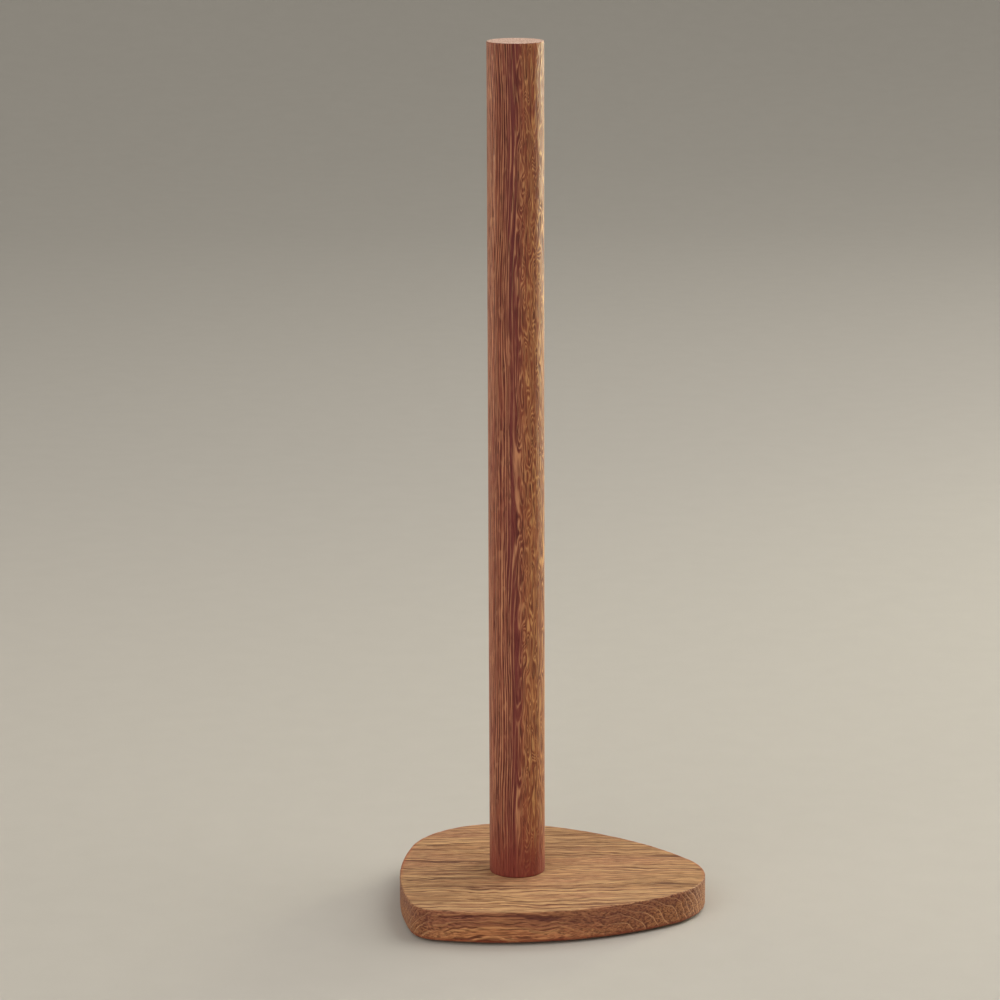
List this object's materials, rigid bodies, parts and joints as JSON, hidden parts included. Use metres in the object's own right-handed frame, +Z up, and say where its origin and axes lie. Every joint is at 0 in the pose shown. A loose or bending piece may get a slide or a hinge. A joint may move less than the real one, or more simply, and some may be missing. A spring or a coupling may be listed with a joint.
{
  "type": "paper towel holder",
  "caption": "Free-standing wooden kitchen-roll holder: a round upright dowel post bolted to a flat rounded-triangle base board on soft foot pads.",
  "frame": {"origin": "on the surface that the holder stands on, under the middle of the base board's bounding box", "axes": "+Z up along the post, +X to the holder's right along the base board's grain, -Y to the front"},
  "size_m": [0.1226, 0.1152, 0.347],
  "materials": {
    "board_oak": "oiled open-grain oak, satin",
    "post_oak": "oiled open-grain oak, satin",
    "insert_brass": "machined",
    "bolt_steel": "zinc plated",
    "washer_steel": "zinc plated",
    "foot_rubber": "matte"
  },
  "bodies": {
    "root": {"base_board": "board_oak", "post": "post_oak", "threaded_insert": "insert_brass", "clamp_bolt": "bolt_steel", "flat_washer": "washer_steel", "spring_washer": "washer_steel", "foot_pad_right": "foot_rubber", "foot_pad_back": "foot_rubber", "foot_pad_front": "foot_rubber"}
  },
  "joints": []
}
